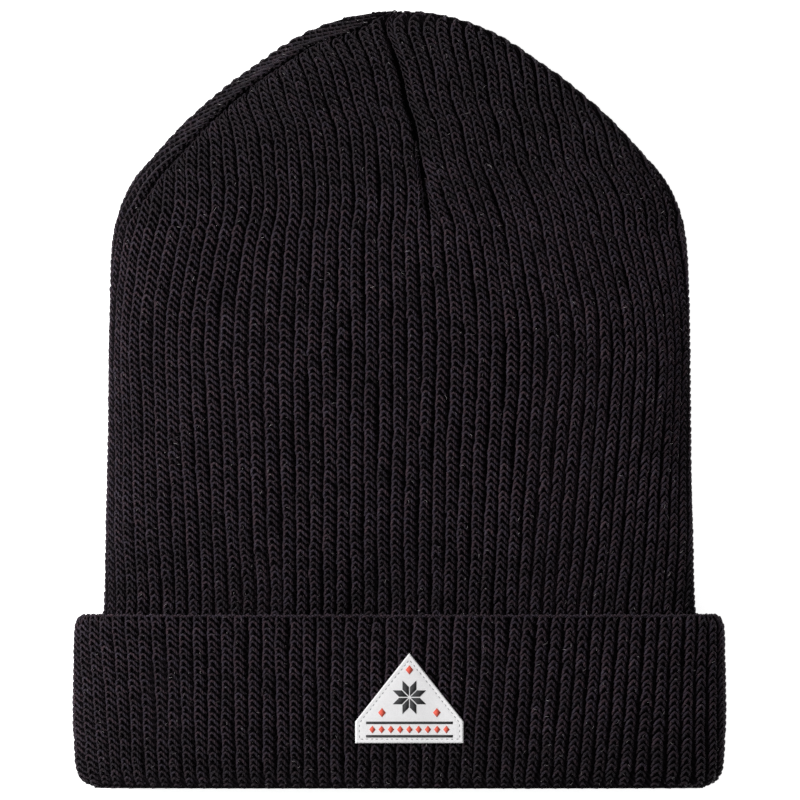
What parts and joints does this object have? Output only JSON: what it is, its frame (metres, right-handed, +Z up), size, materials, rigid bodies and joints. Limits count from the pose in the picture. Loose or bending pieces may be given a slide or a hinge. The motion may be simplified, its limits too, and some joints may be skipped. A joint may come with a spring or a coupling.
{
  "type": "knit cap",
  "caption": "Soft rib-knit cap with a turned-up cuff and a small sewn-on label, lying flat on its back; it warms and covers a head.",
  "frame": {"origin": "under the middle of the cap's length and width, on the surface that it lies on", "axes": "+Z up through the flattened cap, +Y from the cuff's folded edge to the top of the crown, +X to the wearer's left with the label facing up"},
  "size_m": [0.2054, 0.2442, 0.0331],
  "materials": {
    "knit_crown": "near-black rib-knit acrylic yarn, matt and slightly fuzzy",
    "knit_cuff": "near-black rib-knit acrylic yarn, matt and slightly fuzzy",
    "woven_label": "white satin-woven patch with a plain dark grey and red emblem and white sewing thread"
  },
  "bodies": {
    "root": {"crown": "knit_crown", "cuff": "knit_cuff", "label": "woven_label"}
  },
  "joints": []
}
